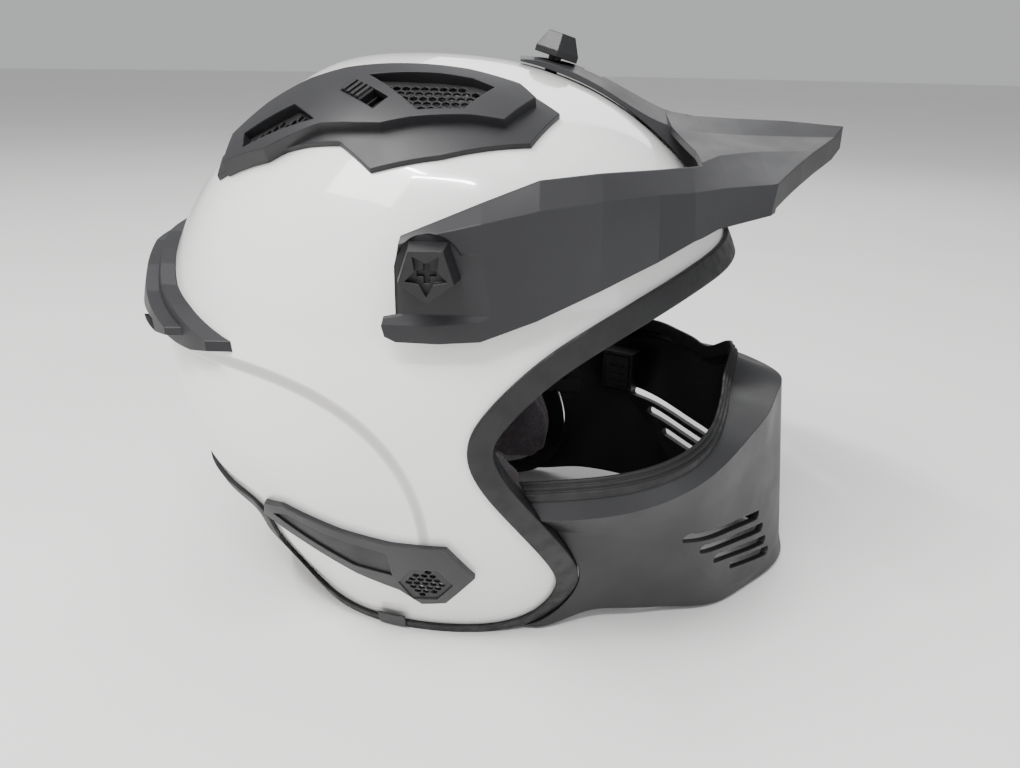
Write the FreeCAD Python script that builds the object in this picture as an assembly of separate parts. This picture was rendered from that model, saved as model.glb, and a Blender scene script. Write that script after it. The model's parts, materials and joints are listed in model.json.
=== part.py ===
import FreeCAD, Part
import math, os

V = FreeCAD.Vector
os.makedirs("parts", exist_ok=True)

# Open face motorcycle helmet with a bolt-on peak and a detachable chin guard.
# Millimetres.  The helmet faces -Y, its right side is -X, +Z is up, z = 0 is the table.

# ---------------------------------------------------------------- driving dimensions
SHELL_WIDTH = 253.0        # outer shell, ear to ear
SHELL_LENGTH = 279.0       # outer shell, brow to occiput
CROWN_HEIGHT = 255.5       # crown above the table
SHELL_WALL = 4.0           # painted shell
FOAM_WALL = 29.0           # impact foam behind the crown and the back of the head
LINER_WALL = 8.5           # comfort liner on the foam
PAD_DEPTH = 45.0           # cheek cushions, shell side to cheek side
GASKET_WIDTH = 10.0        # rubber band standing out of the face opening
TRIM_WIDTH = 5.0           # rubber bead below the bottom edge
RUBBER_GRIP = 3.2          # how far the rubber channels reach over the shell
RUBBER_SKIN = 2.0          # thickness of the outer rubber lip
RUBBER_INNER = 4.0         # thickness of the inner rubber lip
TRIM_FLAT = 0.3            # worn off the bead, so the helmet stands on two flats
VENT_HEIGHT = 7.0          # top vent housings above the shell
SIDE_VENT_HEIGHT = 3.2     # low side vents above the shell
REAR_VENT_HEIGHT = 11.0    # rear spoiler above the shell
GUARD_WALL = 3.4           # chin guard wall
PEAK_WALL = 3.0            # peak wall
PEAK_LIP = 10.0            # depth of the peak's front lip
ARM_GAP = 2.4              # air between the shell and the peak arms
KNOB_WIDTH = 23.5          # star knobs across the points
KNOB_HEIGHT = 10.5         # star knobs above the pivot panel
SCREW_D = 6.0              # knob studs
STRAP_WIDTH = 22.0         # chin strap webbing
STRAP_THICK = 1.8
HEX_PITCH = 3.6            # honeycomb cells, centre to centre
HEX_BAR = 0.8              # bar between two cells

# ---------------------------------------------------------------- clearances
FIT = 0.05                 # pieces of one body, seated on each other
RUN = 0.35                 # pieces that move past each other
SLIT = 0.6                 # visible slit round the chin guard

# nominal frame of the shape tables below, and the three scales that resize it
KX = SHELL_WIDTH / 253.0
KY = SHELL_LENGTH / 279.0
KZ = CROWN_HEIGHT / 255.5


def P(x, y, z):
    return V(x * KX, y * KY, z * KZ)


def yz(points):
    return [(y * KY, z * KZ) for y, z in points]


# ---------------------------------------------------------------- head shape
# level, half width, front, back, roundness of the plan
LEVELS = [(255.5, 0, 8, 8, 2.0),
          (255.5, 30, -24, 40, 2.0),
          (246.5, 74, -64, 62, 2.0),
          (222.5, 104, -102, 93, 2.05),
          (187, 122, -136, 123, 2.1),
          (142, 129, -149, 137, 2.15),
          (97, 127, -145, 133, 2.15),
          (57, 115, -131, 113, 2.15),
          (20, 97, -112, 86, 2.15),
          (-15, 80, -92, 68, 2.1),
          (-50, 62, -72, 54, 2.1)]
AROUND = 24


def signed_power(v, p):
    return math.copysign(abs(v) ** p, v)


def level_ring(level):
    z, w, front, back, n = level
    ring = []
    for j in range(AROUND):
        t = 2 * math.pi * (j - 1) / AROUND
        x = w * signed_power(math.sin(t), 2 / n)
        y = (front + back) / 2 + (back - front) / 2 * signed_power(math.cos(t), 2 / n)
        ring.append(P(x, y, z))
    return ring


RINGS = [level_ring(level) for level in LEVELS]


def ring_normal(i, j):
    if i < 2:
        return V(0, 0, 1)
    below = RINGS[min(i + 1, len(RINGS) - 1)][j]
    along = below - RINGS[i - 1][j]
    across = RINGS[i][(j + 1) % AROUND] - RINGS[i][j - 1]
    n = across.cross(along)
    if n.dot(RINGS[i][j] - P(0, -6, 130)) < 0:
        n = n * -1
    if i == len(RINGS) - 1:
        n.z = 0
    return n.normalize()


NORMALS = [[ring_normal(i, j) for j in range(AROUND)] for i in range(len(RINGS))]
EGGS = {}


def egg(d):
    """Closed head-shaped solid whose skin lies d outside the shell's outer face."""
    if d not in EGGS:
        poles = [[RINGS[i][j] + NORMALS[i][j] * d for i in range(len(RINGS))]
                 for j in range(AROUND)]
        rows = len(RINGS)
        skin = Part.BSplineSurface()
        skin.buildFromPolesMultsKnots(
            poles, [1] * (AROUND + 1), [4] + [1] * (rows - 4) + [4],
            list(range(AROUND + 1)), list(range(rows - 2)), True, False, 3, 3)
        face = skin.toShape()
        rim = skin.vIso(rows - 3).toShape()
        cap = Part.Face(Part.Wire([rim]))
        shell = Part.makeShell([face, cap])
        shell.sewShape()
        solid = Part.makeSolid(shell)
        if solid.Volume < 0:
            solid.reverse()
        EGGS[d] = solid
    return EGGS[d]


def band(outer, inner):
    return egg(outer).cut(egg(inner))


# ---------------------------------------------------------------- drawing helpers
def loop(curved, straight):
    """Closed wire: one smooth run through `curved`, closed by corners `straight`."""
    edges = []
    if curved:
        run = Part.BSplineCurve()
        run.interpolate(curved)
        edges.append(run.toShape())
    corners = ([curved[-1]] if curved else []) + straight
    corners.append(curved[0] if curved else straight[0])
    for a, b in zip(corners, corners[1:]):
        edges.append(Part.makeLine(a, b))
    return Part.Wire(edges)


def side_prism(curved, straight, x0=-200, x1=200):
    """Outline seen from the side, (y, z), run across the helmet from x0 to x1."""
    wire = loop([V(x0, y, z) for y, z in curved], [V(x0, y, z) for y, z in straight])
    return Part.Face(wire).extrude(V(x1 - x0, 0, 0))


def strip(outer, inner):
    """Band between two smooth side outlines, run across the helmet."""
    far = [V(-200, y, z) for y, z in outer]
    near = [V(-200, y, z) for y, z in inner]
    edges = []
    for run in (far, near):
        curve = Part.BSplineCurve()
        curve.interpolate(run)
        edges.append(curve.toShape())
    edges.insert(1, Part.makeLine(far[-1], near[-1]))
    edges.append(Part.makeLine(near[0], far[0]))
    return Part.Face(Part.Wire(Part.__sortEdges__(edges))).extrude(V(400, 0, 0))


def flat_prism(points, n, low, high):
    """Polygon through 3-D points, flattened along n and run from low to high along n."""
    centre = sum(points, V()) * (1.0 / len(points))
    flat = [p - n * (p - centre).dot(n) for p in points]
    face = Part.Face(Part.makePolygon([p + n * low for p in flat] + [flat[0] + n * low]))
    return face.extrude(n * (high - low))


def mean_point(points):
    return sum(points, V()) * (1.0 / len(points))


def plane_normal(points):
    """Direction the polygon faces, by the right-hand rule."""
    centre = mean_point(points)
    normal = V()
    for a, b in zip(points, points[1:] + points[:1]):
        normal += (a - centre).cross(b - centre)
    return normal.normalize()


def shrink(points, gap):
    """Polygon moved inwards by gap, corner by corner, in its own mean plane."""
    normal = plane_normal(points)
    out = []
    for i, p in enumerate(points):
        back = (p - points[i - 1]).normalize()
        ahead = (points[(i + 1) % len(points)] - p).normalize()
        inward = normal.cross(back) + normal.cross(ahead)
        inward.normalize()
        out.append(p + inward * (gap / max(0.4, inward.dot(normal.cross(back)))))
    return out


def mirrored(shape):
    return shape.mirror(V(0, 0, 0), V(1, 0, 0))


def frame(origin, along, n):
    """Placement whose +Z is n and whose +X lies along `along`."""
    z = V(n).normalize()
    x = V(along)
    x = (x - z * x.dot(z)).normalize()
    y = z.cross(x)
    m = FreeCAD.Matrix(x.x, y.x, z.x, origin.x, x.y, y.y, z.y, origin.y,
                       x.z, y.z, z.z, origin.z, 0, 0, 0, 1)
    return FreeCAD.Placement(m)


def block(place, x0, x1, y0, y1, z0, z1):
    return placed(Part.makeBox(x1 - x0, y1 - y0, z1 - z0, V(x0, y0, z0)), place)


def placed(shape, place):
    moved = shape.copy()
    moved.Placement = place.multiply(moved.Placement)
    return moved


def honeycomb(points, n, thick):
    """Flat plate on a polygon, pierced by hexagonal cells that clear its border."""
    centre = sum(points, V()) * (1.0 / len(points))
    flat = [p - n * (p - centre).dot(n) for p in points]
    ex = (flat[1] - flat[0]).normalize()
    ey = n.cross(ex)
    sides = [(a, b) for a, b in zip(flat, flat[1:] + flat[:1])]
    radius = (HEX_PITCH - HEX_BAR) / math.sqrt(3)

    def inside(p):
        signs = [(b - a).normalize().cross(p - a).dot(n) for a, b in sides]
        return min(abs(s) for s in signs) if len({s > 0 for s in signs}) == 1 else 0

    wires = []
    rows = int(60 / HEX_PITCH)
    for i in range(-rows, rows + 1):
        for j in range(-rows, rows + 1):
            p = centre + ex * (HEX_PITCH * (j + 0.5 * (i % 2)))
            p = p + ey * (HEX_PITCH * math.sqrt(0.75) * i)
            if inside(p) > radius + HEX_BAR:
                ring = [p + ex * (radius * math.sin(math.radians(60 * k)))
                        + ey * (radius * math.cos(math.radians(60 * k))) for k in range(6)]
                wires.append(Part.makePolygon(ring + ring[:1]))
    plate = Part.makeFace([Part.makePolygon(flat + flat[:1])] + wires,
                          "Part::FaceMakerBullseye")
    return plate.extrude(n * thick)


def skin_point(direction, d=0.0, start=None):
    """Where a ray from inside the head leaves the skin lying d outside the shell."""
    start = start or P(0, -6, 120)
    line = Part.makeLine(start, start + V(direction).normalize() * 400)
    hit = line.section(egg(d))
    return hit.Vertexes[0].Point


def skin_normal(p):
    """Outward direction of the shell at a point on or near it."""
    face = egg(0).Faces[0]
    u, v = face.Surface.parameter(p)
    n = face.normalAt(u, v)
    return n if n.dot(p - P(0, -6, 120)) > 0 else n * -1


def inset(outline, gap):
    """Open (radius, height) outline moved inwards, corner by corner."""
    out = []
    for i, (r, z) in enumerate(outline):
        normals = []
        for a, b in ((i - 1, i), (i, i + 1)):
            if 0 <= a and b < len(outline):
                dr, dz = outline[b][0] - outline[a][0], outline[b][1] - outline[a][1]
                size = math.hypot(dr, dz)
                normals.append((dz / size, -dr / size))
        nr = sum(n[0] for n in normals) / len(normals)
        nz = sum(n[1] for n in normals) / len(normals)
        size = nr * nr + nz * nz
        out.append((r + nr / size * gap, z + nz / size * gap))
    return out


# ---------------------------------------------------------------- edge of the shell
# side view (y, z): brow, eye corner, jaw, then back along the bottom to the nape
EDGE = yz([(-195, 193), (-165, 188), (-133, 182), (-110, 177.5), (-94, 172.5), (-80, 167),
           (-68, 161.5), (-51, 152), (-35, 139), (-25.6, 128.5), (-20, 119), (-18.8, 110),
           (-21.8, 99.5), (-31.7, 83), (-44.2, 64), (-52.4, 49), (-56.5, 35), (-53.5, 21.5),
           (-45, 11.5), (-32, 6.4), (-14, TRIM_WIDTH / KZ), (8, TRIM_WIDTH / KZ),
           (28, TRIM_WIDTH / KZ), (44, 5.8), (54, 9), (62, 15.5), (68, 24), (71.5, 34),
           (72.5, 45), (72, 56), (73.5, 64), (79, 69.5), (90, 72), (116, 72.5), (150, 72.5),
           (195, 72.5)])
edge_run = Part.BSplineCurve()
edge_run.interpolate([V(0, y, z) for y, z in EDGE])
SAMPLES = [(p.y, p.z) for p in edge_run.toShape().discretize(Number=96)]


def nearest_sample(y, z):
    return min(range(len(SAMPLES)), key=lambda i: math.hypot(SAMPLES[i][0] - y * KY,
                                                             SAMPLES[i][1] - z * KZ))


JAW = nearest_sample(-56.5, 35)
JOINT = nearest_sample(-32, 6.4)


def bead(i):
    """Width of the rubber that stands out of the edge at sample i."""
    t = min(1.0, max(0.0, (i - JAW) / (JOINT - JAW)))
    return GASKET_WIDTH + (TRIM_WIDTH - GASKET_WIDTH) * t


def edge_at(gap, first=0, last=None):
    """The edge moved outwards by gap, a number or a function of the sample."""
    last = len(SAMPLES) if last is None else last
    out = []
    for i in range(first, last):
        a = SAMPLES[max(i - 1, 0)]
        b = SAMPLES[min(i + 1, len(SAMPLES) - 1)]
        ty, tz = b[0] - a[0], b[1] - a[1]
        size = math.hypot(ty, tz)
        w = gap(i) if callable(gap) else gap
        out.append((SAMPLES[i][0] + tz / size * w, SAMPLES[i][1] - ty / size * w))
    return out


def keep(gap):
    """Everything on the helmet's side of the edge moved outwards by gap."""
    return side_prism(edge_at(gap), [(195 * KY, 330 * KZ), (-195 * KY, 330 * KZ)])


PARTS = {}

# ---------------------------------------------------------------- side screws and knobs
PIVOT_Y, PIVOT_Z = -6 * KY, 185 * KZ
ARM_X = 132.0 * KX                      # outer face of the peak's pivot panel
arm_inner = ARM_X - PEAK_WALL
pivot_skin = abs(skin_point(V(-1, 0, 0), 0, V(0, PIVOT_Y, PIVOT_Z)).x)
INSERT_D = SCREW_D + 6


def cross_bar(d, x0, x1):
    """Cylinder along X through the pivot, on the right side."""
    return Part.makeCylinder(d / 2, x1 - x0, V(-x1, PIVOT_Y, PIVOT_Z), V(1, 0, 0))


insert_deep = pivot_skin - 20
inserts = cross_bar(INSERT_D, insert_deep, pivot_skin - 2.0)
inserts = inserts.cut(cross_bar(SCREW_D + 2 * FIT, insert_deep + 3, pivot_skin))
insert_hole = cross_bar(INSERT_D + 2 * FIT, insert_deep - FIT, pivot_skin + 6)

# ---------------------------------------------------------------- vents: where they sit
TOP_N = V(-0.62, 0.05, 0.78).normalize()
TOP_OUTLINE = [P(*p) for p in [
    (-64, 89, 206), (-52, 90, 212), (-51.5, 82, 220), (-55, 65, 232.5), (-56, 48, 242),
    (-58, 32.5, 246.5), (-62, 15, 248), (-64, -1, 248), (-65, -16.5, 246.5),
    (-67, -31.5, 243.5), (-70, -42, 239), (-74, -51.5, 233.5), (-93.5, -40.5, 224),
    (-97, -31, 223.5), (-103.5, -8, 220), (-105, 18, 215), (-94.5, 31, 223.5),
    (-89, 44.5, 222), (-81, 63.5, 216.5)]]
TOP_CORE = [P(*p) for p in [
    (-73, 83, 212.5), (-57, 82, 219), (-57.5, 66, 232), (-58.5, 48, 241), (-60.5, 33, 245.5),
    (-64, 15, 247.5), (-66, 0, 247.5), (-67.5, -16, 246), (-71, -36, 241.5),
    (-79, -42, 239.5), (-94.5, -30.5, 232.5), (-95.5, -18.5, 234), (-97.5, 3, 233),
    (-98.5, 15, 231), (-96.5, 23, 230.5), (-91, 39, 229.5), (-86.5, 62, 219.5)]]
FRONT_WINDOW = [P(*p) for p in [
    (-72.5, 22.5, 244.5), (-73.5, 8.5, 245.5), (-74.5, -5.5, 245.5), (-76, -18, 244),
    (-79, -26.5, 241), (-92.5, -15.5, 234), (-94, 1.5, 233.5)]]
REAR_WINDOW = [P(*p) for p in [(-74, 50.5, 234), (-87, 40, 229.5), (-76, 72, 217.5),
                               (-68, 73, 222)]]
LOW_OUTLINE = yz([(73, 65), (70.5, 73.5), (61, 75.5), (35.5, 68), (14, 64), (-9.5, 63),
                  (-21, 45), (-7.5, 26), (3.5, 24), (13, 33.5), (31.5, 41), (53, 54)])
LOW_WINDOW = yz([(12.5, 41), (6, 51), (-5.5, 51.5), (-11.5, 41), (-4, 30), (7, 29)])
LOW_PANEL = yz([(67, 68.5), (60, 71.5), (35.5, 63), (16, 59), (15, 44), (31.5, 47),
                (53, 59.5)])
top_ducts = [flat_prism(shrink(w, 2.2), plane_normal(w), -30, 30)
             for w in (FRONT_WINDOW, REAR_WINDOW)]
low_middle = skin_point(V(-1, 0, 0), 0, P(0, 0.5, 41))
LOW_N = skin_normal(low_middle)
low_duct = Part.makeCylinder(7.0, 12, low_middle - LOW_N * 8, LOW_N)

# ---------------------------------------------------------------- shell and rubber edges
inner = -SHELL_WALL
shell = band(0, inner).common(keep(RUBBER_GRIP))
rubber = band(RUBBER_SKIN, inner - RUBBER_INNER)
seat = band(FIT, inner - FIT).common(keep(RUBBER_GRIP + FIT))
PARTS["face_gasket"] = rubber.common(
    strip(edge_at(bead, 0, JOINT + 1), edge_at(0, 0, JOINT + 1))).cut(seat)
base_trim = rubber.common(strip(edge_at(bead, JOINT), edge_at(0, JOINT))).cut(seat)
PARTS["base_trim"] = base_trim.cut(Part.makeBox(400, 400, 20 + TRIM_FLAT,
                                                V(-200, -200, -20)))

# ---------------------------------------------------------------- foam, liner, cushions
NAPE = 92                  # nominal level of the foam's lower edge at the nape
foam_out = inner - FIT
foam_in = inner - FOAM_WALL
foam_zone = side_prism([], yz([(-200, 113), (41, 113), (41, NAPE), (200, NAPE),
                               (200, 330), (-200, 330)]))
foam = band(foam_out, foam_in).common(keep(-FIT)).common(foam_zone)
foam = foam.cut(insert_hole).cut(mirrored(insert_hole))
PARTS["eps_liner"] = foam
liner_brow = yz([(-190, 206), (-133, 192), (-94, 183), (-68, 173), (-51, 164), (-38, 153),
                 (-28, 142), (-20, 128), (-15, 115)])
PARTS["crown_liner"] = band(foam_in - FIT, foam_in - LINER_WALL).common(
    side_prism(liner_brow, yz([(-12, 114), (44, 114), (44, NAPE + 2), (190, NAPE + 2),
                               (190, 330), (-190, 330)])))
pad_out = inner - RUBBER_INNER - 0.3
PARTS["neck_roll"] = band(pad_out, pad_out - 27).common(
    side_prism([], yz([(41.3, NAPE - 24), (190, NAPE - 22), (190, NAPE - 0.1),
                       (41.3, NAPE - 0.1)])))
pad_zone = side_prism([], yz([(-21, 112), (-24, 100), (-34, 84), (-47, 64), (-55, 50),
                              (-59, 39), (-56, 24), (-46, 14), (20, 14), (41, 21),
                              (41, 112)]), -200, -60 * KX)
plate_zone = side_prism([], yz([(-13, 105), (-24, 84), (-36, 64), (-46, 44), (-46, 28),
                                (-34, 17), (36, 24), (36, 105)]), -200, -12)
pad = band(pad_out, pad_out - PAD_DEPTH).common(pad_zone)
plate = band(inner - FIT, pad_out + FIT).common(plate_zone)

# ---------------------------------------------------------------- chin guard receivers
TAB_X0, TAB_X1 = -97.6 * KX, -93.4 * KX
TAB_Y0, TAB_Y1 = -72 * KY, -28 * KY
TAB_Z0, TAB_Z1 = 52 * KZ, 60 * KZ


def tab_box(grow, y0, y1):
    return Part.makeBox(TAB_X1 - TAB_X0 + 2 * grow, y1 - y0, TAB_Z1 - TAB_Z0 + 2 * grow,
                        V(TAB_X0 - grow, y0, TAB_Z0 - grow))


receiver = Part.makeBox(18, 24, 18, V(TAB_X0 - 12, TAB_Y0 + 24, TAB_Z0 - 5))
receiver = receiver.common(egg(inner - FIT)).common(keep(-0.5))
pocket = Part.makeBox(19, 25, 19, V(TAB_X0 - 12.5, TAB_Y0 + 23.6, TAB_Z0 - 5.5))
tab_track = tab_box(RUN, TAB_Y0 - 10, TAB_Y1 + RUN + 0.5)
receiver = receiver.cut(tab_track)
pad = pad.cut(pocket).cut(tab_track)
plate = plate.cut(pocket)
gasket_notch = tab_box(RUN, TAB_Y0, TAB_Y1)
PARTS["face_gasket"] = PARTS["face_gasket"].cut(gasket_notch).cut(mirrored(gasket_notch))

# ---------------------------------------------------------------- low side vents
low_prism = side_prism([], LOW_OUTLINE, -200, -12)


def low_points(outline, gap):
    flat = shrink([V(0, y, z) for y, z in outline], gap)
    return [(p.y, p.z) for p in flat]


def low_zone(outline, gap):
    return side_prism([], low_points(outline, gap), -200, -12)


window_3d = [skin_point(V(-1, 0, 0), 0, V(0, y, z)) for y, z in LOW_WINDOW]
frame_low = egg(SIDE_VENT_HEIGHT).common(low_prism).cut(egg(FIT))
frame_low = frame_low.cut(flat_prism(window_3d, LOW_N, -12, 12))
frame_low = frame_low.cut(low_zone(LOW_PANEL, 0))
cover_low = egg(SIDE_VENT_HEIGHT - 0.9).common(low_zone(LOW_PANEL, FIT)).cut(egg(FIT))
mesh_low = honeycomb(shrink(window_3d, FIT), LOW_N, 1.2)
mesh_low.translate(LOW_N * 1.5)

# ---------------------------------------------------------------- top vents
top_full = egg(2.4).common(flat_prism(TOP_OUTLINE, TOP_N, -40, 40))
top_core = egg(VENT_HEIGHT).common(flat_prism(TOP_CORE, TOP_N, -40, 40))
housing = top_full.fuse(top_core).cut(egg(FIT))
meshes = []
MESH_DEPTH, MESH_THICK = 1.8, 1.0
for window in (FRONT_WINDOW, REAR_WINDOW):
    normal = plane_normal(window)
    if normal.dot(TOP_N) < 0:
        normal = normal * -1
    housing = housing.cut(flat_prism(window, normal, -20, 20))
    plate_points = [p - normal * MESH_DEPTH for p in shrink(window, FIT)]
    meshes.append(honeycomb(plate_points, normal, MESH_THICK))

# slider: a foot held under two lips, a ribbed button standing in the slot
SLIDE = V(-15.2 * KX, -16.6 * KY, -6.3 * KZ).normalize()
slot_middle = P(-84, 22.8, 240)
SLOT_N = skin_normal(slot_middle)
slot_middle = skin_point(slot_middle - P(0, -6, 120), 0)
slot_frame = frame(slot_middle, SLIDE, SLOT_N)
TRAVEL = 8.0
FOOT_L, FOOT_W, BUTTON_L, BUTTON_W = 13.0, 10.0, 12.0, 7.0
half = TRAVEL / 2
housing = housing.cut(block(slot_frame, -FOOT_L / 2 - half - RUN, FOOT_L / 2 + half + RUN,
                            -FOOT_W / 2 - RUN, FOOT_W / 2 + RUN, 1.2, 3.2 + RUN))
housing = housing.cut(block(slot_frame, -BUTTON_L / 2 - half - RUN,
                            BUTTON_L / 2 + half + RUN, -BUTTON_W / 2 - RUN,
                            BUTTON_W / 2 + RUN, 3, 30))
slider = block(slot_frame, -FOOT_L / 2 - half, FOOT_L / 2 - half, -FOOT_W / 2, FOOT_W / 2,
               1.5, 3.0)
slider = slider.fuse(block(slot_frame, -BUTTON_L / 2 - half, BUTTON_L / 2 - half,
                           -BUTTON_W / 2, BUTTON_W / 2, 2.9, 6.6))
for k in range(4):
    x = -half + (k - 1.5) * 2.8
    slider = slider.fuse(block(slot_frame, x - 0.7, x + 0.7, -BUTTON_W / 2, BUTTON_W / 2,
                               6.5, 7.6))

# ---------------------------------------------------------------- rear spoiler vent
def rear_prism(points):
    wire = Part.makePolygon([P(x, 20, z) for x, z in points + points[:1]])
    return Part.Face(wire).extrude(V(0, 200, 0))


def both_sides(points):
    return points + [(-x, z) for x, z in reversed(points)]


WINGS = both_sides([(0, 177), (30, 176), (44, 171.5), (56, 167), (68, 160.5), (83, 156),
                    (93, 152), (104, 147.5), (105, 143.5), (98, 141.5), (90, 141.5),
                    (60, 143), (0, 146)])
BODY = both_sides([(0, 172), (28, 171.5), (50, 165), (66, 157), (80, 152.5), (92, 149),
                   (93, 146), (84, 144.5), (60, 145.5), (0, 148.5)])
wing = egg(REAR_VENT_HEIGHT - 5).common(rear_prism(WINGS))
spoiler = wing.fuse(egg(REAR_VENT_HEIGHT).common(rear_prism(BODY))).cut(egg(FIT))


def grille_low(x, gap=0.0):
    return x, 145.9 - 0.03 * (x - 46) + gap


def grille_high(x, gap=0.0):
    return x, 150.6 - 0.053 * (x - 50) - gap


grille_hole = rear_prism([grille_low(46), grille_high(50), grille_high(80), grille_low(84)])
spoiler = spoiler.cut(grille_hole).cut(mirrored(grille_hole))
grille = egg(REAR_VENT_HEIGHT - 7).common(rear_prism(
    [grille_low(46.1, 0.1), grille_high(50.1, 0.1), grille_high(79.9, 0.1),
     grille_low(83.8, 0.1)])).cut(egg(FIT))
for k in range(5):
    x = 50.5 + 6.2 * k
    grille = grille.cut(rear_prism([grille_low(x, 0.8), grille_high(x + 1.2, 0.8),
                                    grille_high(x + 4.4, 0.8), grille_low(x + 3.2, 0.8)]))
PARTS["rear_vent"] = spoiler
PARTS["rear_grille_left"] = grille
PARTS["rear_grille_right"] = mirrored(grille)

# ---------------------------------------------------------------- ducts through the shell
shell = shell.cut(insert_hole).cut(mirrored(insert_hole))
for duct in top_ducts + [low_duct]:
    shell = shell.cut(duct).cut(mirrored(duct))
PARTS["outer_shell"] = shell

# ---------------------------------------------------------------- chin guard
# bearing from straight ahead, then (radius, height) of: top edge of the goggle rim, upper
# crease, lower crease, bottom edge.  Radii are taken round a post at (0, GUARD_Y).
GUARD_Y = -50
GUARD = [(0, (96, 119), (124, 101.5), (134, 11), (136, 3)),
         (12, (92, 110), (119, 101.5), (127, 10), (128.5, 2.5)),
         (24, (93.2, 108), (116.5, 99.5), (117, 8), (115.5, 2)),
         (36, (98.3, 106.6), (115.5, 96.5), (110.5, 15), (106.5, 2)),
         (48, (107, 105), (118.5, 93), (109.5, 34), (93, 4)),
         (60, (114, 101.5), (122, 88), (108, 54), (85.5, 6)),
         (72, (115.5, 98), (122, 83), (107, 62), (81, 6.5)),
         (84, (113, 95), (118.5, 79), (105.5, 65.5), (83, 3)),
         (96, (109.2, 91), (114.5, 75.5), (103, 67), (85, 3)),
         (108, (105, 87), (110.5, 73.5), (100, 65), (84, 3))]
RIM_HEIGHT = 7.5
RIM_THICK = 4.2


def guard_point(bearing, r, z):
    a = math.radians(bearing)
    return P(-r * math.sin(a), GUARD_Y - r * math.cos(a), z)


def around(section):
    """Loft the closed (radius, height) outline `section(row)` round the chin."""
    rows = [row for row in reversed(GUARD[1:])] + GUARD
    wires = []
    for i, row in enumerate(rows):
        side = -1 if i < len(GUARD) - 1 else 1
        ring = [guard_point(side * row[0], r, z) for r, z in section(row)]
        wires.append(Part.makePolygon(ring + ring[:1]))
    return Part.makeLoft(wires, True, False)


def guard_section(row):
    rim, crease, low, bottom = row[1:]
    foot = (rim[0] + RIM_THICK - 0.6, rim[1] - RIM_HEIGHT)
    outline = [foot, crease, low, bottom]
    return outline + list(reversed(inset(outline, GUARD_WALL)))


def rim_section(row):
    r, z = row[1]
    base = z - RIM_HEIGHT + FIT
    return [(r, z), (r + 1.3, z), (r + 1.3, z - 1.9), (r + 2.7, z - 1.9),
            (r + 2.7, z - 4.0), (r + RIM_THICK, z - 4.0), (r + RIM_THICK, base), (r, base)]


helmet_side = side_prism(edge_at(lambda i: bead(i) + SLIT),
                         [(195 * KY, 330 * KZ), (-195 * KY, 330 * KZ)])
guard = around(guard_section).cut(helmet_side)
rim = around(rim_section).cut(helmet_side).cut(guard)

SLOTS = [((55.4, 56), (23.4, 43)), ((49, 46), (19.7, 33)), ((42.4, 35.5), (17.2, 23.5)),
         ((33.5, 24.5), (15, 15))]
SLOT_TALL = 5.0
for (b0, z0), (b1, z1) in SLOTS:
    for side in (1, -1):
        mean = guard_point(side * (b0 + b1) / 2, 118, (z0 + z1) / 2)
        ends = [guard_point(side * b0, 112, z0), guard_point(side * b1, 124, z1)]
        outward = guard_point(side * (b0 + b1) / 2, 10, 0) - guard_point(0, 0, 0)
        place = frame((ends[0] + ends[1]) * 0.5, ends[1] - ends[0], outward)
        span = (ends[1] - ends[0]).Length / 2 - SLOT_TALL / 2
        cutter = block(place, -span, span, -SLOT_TALL / 2, SLOT_TALL / 2, -24, 22)
        for x in (-span, span):
            bit = Part.makeCylinder(SLOT_TALL / 2, 46, V(x, 0, -24))
            cutter = cutter.fuse(placed(bit, place))
        guard = guard.cut(cutter)

# tongues that slide into the receivers
tongue = tab_box(0, TAB_Y0, TAB_Y1)
root = Part.makeBox(5.1, 9, TAB_Z1 - TAB_Z0 + 1, V(-98.5 * KX, TAB_Y0 - 4, TAB_Z0))
tongue = tongue.fuse(root)
guard = guard.fuse(tongue).fuse(mirrored(tongue))

# release buttons: a plate in a bezel on the inner face of each cheek of the guard
BUTTON_AT = 60
PRESS = 1.6


def button_frame(side):
    a = math.radians(side * BUTTON_AT)
    out = V(-math.sin(a) * KX, -math.cos(a) * KY, 0).normalize()
    middle = guard_point(side * BUTTON_AT, 105.0 - GUARD_WALL, 71)
    return frame(middle, V(0, 0, 1), out)


for side, name in ((1, "right"), (-1, "left")):
    place = button_frame(side)
    bezel = block(place, -12, 12, -10, 10, -4.5, 7)
    bezel = bezel.cut(block(place, -10, 10, -8, 8, -6, 1.2))
    bezel = bezel.common(around(lambda row: [(20, 130), (row[2][0] - 1.5, 130)]
                                + inset([row[2], row[3], row[4]], 1.5) + [(20, 0)]))
    guard = guard.fuse(bezel)
    button = block(place, -10 + RUN, 10 - RUN, -8 + RUN, 8 - RUN, -5.2, -PRESS)
    for k in range(3):
        button = button.cut(block(place, -6.9 + 5 * k, -5.1 + 5 * k, -5, 5, -6, -4.6))
    PARTS["guard_release_" + name] = button
PARTS["chin_guard"] = guard
PARTS["goggle_rim"] = rim

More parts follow.
